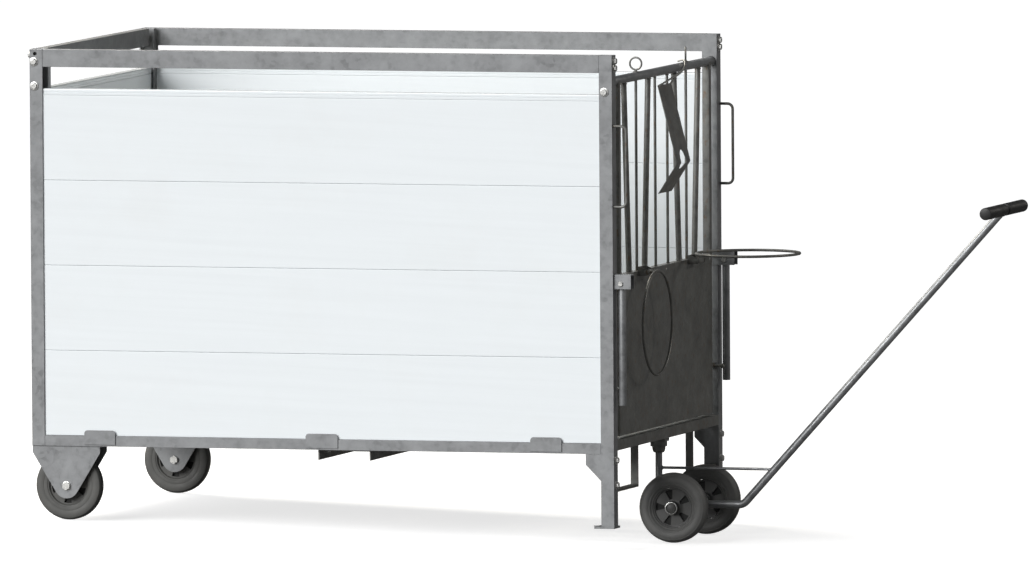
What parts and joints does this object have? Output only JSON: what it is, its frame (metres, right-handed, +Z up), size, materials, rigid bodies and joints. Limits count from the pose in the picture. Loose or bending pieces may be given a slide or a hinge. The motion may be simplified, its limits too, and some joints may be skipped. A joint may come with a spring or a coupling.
{
  "type": "mobile calf pen",
  "caption": "Single-calf pen with plank walls, a feeding gate with bucket rings and bottle holder, rear castors and a hook-on hand dolly that steers it.",
  "frame": {"origin": "centre of the bounding box's bottom, on the floor under the wheels", "axes": "+X towards the gate and the dolly, +Y to the far side, +Z up"},
  "size_m": [2.7532, 1.122, 1.4008],
  "materials": {
    "galvanised": "hot-dip galvanised, soft spangle",
    "shaded_galvanised": "hot-dip galvanised, darker, faint brown flecks",
    "plank": "satin extruded board",
    "cap": "gloss extruded cap",
    "floor": "matte moulded",
    "castor_rubber": "matte",
    "tyre": "matte",
    "rim": "satin",
    "zinc": "bright zinc plated",
    "grip": "matte ribbed"
  },
  "bodies": {
    "pen": {"post_rear_near": "galvanised", "post_rear_far": "galvanised", "post_front_near": "galvanised", "post_front_far": "galvanised", "rail_top_near": "galvanised", "rail_top_far": "galvanised", "rail_top_rear": "galvanised", "rail_bottom_near": "galvanised", "rail_bottom_far": "galvanised", "rail_bottom_rear": "galvanised", "rail_bottom_front": "shaded_galvanised", "cross_member": "shaded_galvanised", "floor": "floor", "stirrup_near": "shaded_galvanised", "stirrup_far": "shaded_galvanised", "dolly_cup": "shaded_galvanised", "plank_side_1_near": "plank", "plank_side_1_far": "plank", "plank_rear_1": "plank", "plank_side_2_near": "plank", "plank_side_2_far": "plank", "plank_rear_2": "plank", "plank_side_3_near": "plank", "plank_side_3_far": "plank", "plank_rear_3": "plank", "plank_side_4_near": "plank", "plank_side_4_far": "plank", "plank_rear_4": "plank", "cap_side_near": "cap", "cap_side_far": "cap", "cap_rear": "cap", "castor_fork_near": "galvanised", "castor_fork_far": "galvanised", "grab_handle_near": "galvanised", "grab_handle_far": "galvanised", "lift_bracket_near": "galvanised", "lift_bracket_far": "galvanised"},
    "gate": {"gate_frame": "shaded_galvanised", "gate_panel": "shaded_galvanised"},
    "ring_rod_near": {"ring_rod_near": "zinc"},
    "ring_rod_far": {"ring_rod_far": "zinc"},
    "latch_near": {"latch_pin_near": "zinc"},
    "latch_far": {"latch_pin_far": "zinc"},
    "bucket_ring_near": {"bucket_ring_near": "shaded_galvanised"},
    "bucket_ring_far": {"bucket_ring_far": "shaded_galvanised"},
    "bottle_holder": {"bottle_holder": "shaded_galvanised"},
    "lift_handle_near": {"lift_handle_near": "galvanised"},
    "lift_handle_far": {"lift_handle_far": "galvanised"},
    "castor_wheel_near": {"castor_wheel_near": "castor_rubber"},
    "castor_wheel_far": {"castor_wheel_far": "castor_rubber"},
    "dolly": {"dolly_frame": "galvanised", "grip_near": "grip", "grip_far": "grip"},
    "dolly_wheel_near": {"dolly_tyre_near": "tyre", "dolly_rim_near": "rim"},
    "dolly_wheel_far": {"dolly_tyre_far": "tyre", "dolly_rim_far": "rim"}
  },
  "joints": [
    {"name": "gate_swing", "type": "hinge", "parent": "pen", "child": "gate", "pos_m": [0.33675, 0, 1.32419], "axis": [0, -1, 0], "range_deg": [0, 25]},
    {"name": "ring_rod_lift_near", "type": "slide", "parent": "gate", "child": "ring_rod_near", "axis": [-0.039, 0, 0.9992], "range_m": [0, 0.45]},
    {"name": "ring_rod_lift_far", "type": "slide", "parent": "gate", "child": "ring_rod_far", "axis": [-0.039, 0, 0.9992], "range_m": [0, 0.45]},
    {"name": "latch_slide_near", "type": "slide", "parent": "pen", "child": "latch_near", "axis": [0, 1, 0], "range_m": [0, 0.012]},
    {"name": "latch_slide_far", "type": "slide", "parent": "pen", "child": "latch_far", "axis": [0, -1, 0], "range_m": [0, 0.012]},
    {"name": "bucket_ring_tilt_near", "type": "hinge", "parent": "gate", "child": "bucket_ring_near", "pos_m": [0.39686, -0.254, 0.77162], "axis": [0, -1, 0], "range_deg": [0, 90]},
    {"name": "bucket_ring_tilt_far", "type": "hinge", "parent": "gate", "child": "bucket_ring_far", "pos_m": [0.39686, 0.254, 0.77162], "axis": [0, 1, 0], "range_deg": [0, 90]},
    {"name": "bottle_holder_swing", "type": "hinge", "parent": "gate", "child": "bottle_holder", "pos_m": [0.33675, 0, 1.32419], "axis": [0, -1, 0], "range_deg": [0, 50]},
    {"name": "lift_handle_fold_near", "type": "hinge", "parent": "pen", "child": "lift_handle_near", "pos_m": [0.39593, -0.529, 0.75707], "axis": [0, -1, 0], "range_deg": [0, 90]},
    {"name": "lift_handle_fold_far", "type": "hinge", "parent": "pen", "child": "lift_handle_far", "pos_m": [0.39593, 0.529, 0.75707], "axis": [0, -1, 0], "range_deg": [0, 90]},
    {"name": "castor_spin_near", "type": "hinge", "parent": "pen", "child": "castor_wheel_near", "pos_m": [-1.21957, -0.517, 0.098], "axis": [0, 1, 0], "continuous": true},
    {"name": "castor_spin_far", "type": "hinge", "parent": "pen", "child": "castor_wheel_far", "pos_m": [-1.21957, 0.517, 0.098], "axis": [0, 1, 0], "continuous": true},
    {"name": "dolly_swivel", "type": "hinge", "parent": "pen", "child": "dolly", "pos_m": [0.3666, 0, 0.25254], "axis": [0, 0, 1], "range_deg": [-30, 30]},
    {"name": "dolly_spin_near", "type": "hinge", "parent": "dolly", "child": "dolly_wheel_near", "pos_m": [0.46464, -0.167, 0.09975], "axis": [0, 1, 0], "continuous": true},
    {"name": "dolly_spin_far", "type": "hinge", "parent": "dolly", "child": "dolly_wheel_far", "pos_m": [0.46464, 0.167, 0.09975], "axis": [0, 1, 0], "continuous": true}
  ]
}
